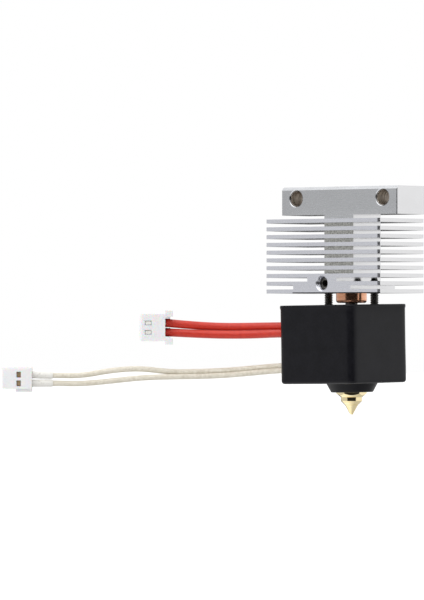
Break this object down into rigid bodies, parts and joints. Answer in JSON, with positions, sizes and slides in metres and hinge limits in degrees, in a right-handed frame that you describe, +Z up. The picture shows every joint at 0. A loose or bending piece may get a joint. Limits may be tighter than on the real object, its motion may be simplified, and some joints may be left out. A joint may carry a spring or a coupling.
{
  "type": "hotend assembly",
  "caption": "Direct-drive printer hotend: finned heatsink on a two-hole bar, bi-metal heat break, heater block in a silicone sock, nozzle and leads with plugs.",
  "frame": {"origin": "midway between the two mounting holes, on the flat rear face of the mounting bar", "axes": "+X to the right along the row of mounting holes, +Y rearwards out of the mounting face, +Z up; the nozzle points down along -Z"},
  "size_m": [0.0845, 0.0538, 0.0518],
  "materials": {
    "machined_aluminium": "machined, fine tool marks",
    "block_aluminium": "machined",
    "ptfe": "smooth",
    "copper": "turned copper",
    "titanium": "turned",
    "black_steel": "black oxide",
    "stainless_steel": "drawn tube",
    "seal_ceramic": "matt",
    "bead_glass": "fused glass",
    "nozzle_brass": "turned, bright",
    "black_silicone": "matt moulded silicone",
    "red_braid": "lacquered glass-fibre braid",
    "cream_braid": "glass-fibre braid",
    "white_nylon": "natural nylon",
    "clear_sleeve": "milky shrink tube",
    "tinned_contact": "tin plated",
    "gold_contact": "phosphor bronze"
  },
  "bodies": {
    "frame": {"heatsink": "machined_aluminium", "ptfe_guide_tube": "ptfe", "heat_break_sleeve": "copper", "heat_break_throat": "titanium", "support_screw_left": "black_steel", "support_screw_right": "black_steel", "heater_block": "block_aluminium", "heater_clamp_screw": "black_steel", "thermistor_clamp_screw": "black_steel", "heater_sheath": "stainless_steel", "heater_end_seal": "seal_ceramic", "heater_core": "seal_ceramic", "thermistor_shell": "stainless_steel", "thermistor_end_seal": "seal_ceramic", "thermistor_bead": "bead_glass", "heater_lead_upper": "red_braid", "heater_lead_lower": "red_braid", "heater_connector_housing": "white_nylon", "heater_contact_upper": "tinned_contact", "heater_contact_lower": "tinned_contact", "thermistor_lead_upper": "cream_braid", "thermistor_lead_lower": "cream_braid", "thermistor_sleeve_upper": "clear_sleeve", "thermistor_sleeve_lower": "clear_sleeve", "thermistor_connector_housing": "white_nylon", "thermistor_contact_upper": "gold_contact", "thermistor_contact_lower": "gold_contact"},
    "sock": {"silicone_sock": "black_silicone"},
    "nozzle": {"nozzle": "nozzle_brass"},
    "set_screw": {"heat_break_set_screw": "black_steel"}
  },
  "joints": [
    {"name": "sock_pull_off", "type": "slide", "parent": "frame", "child": "sock", "axis": [0, 0, -1], "range_m": [0, 0.027]},
    {"name": "nozzle_unscrew", "type": "slide", "parent": "frame", "child": "nozzle", "axis": [0, 0, -1], "range_m": [0, 0.008]},
    {"name": "set_screw_back_out", "type": "slide", "parent": "frame", "child": "set_screw", "axis": [0, -1, 0], "range_m": [0, 0.007]}
  ]
}
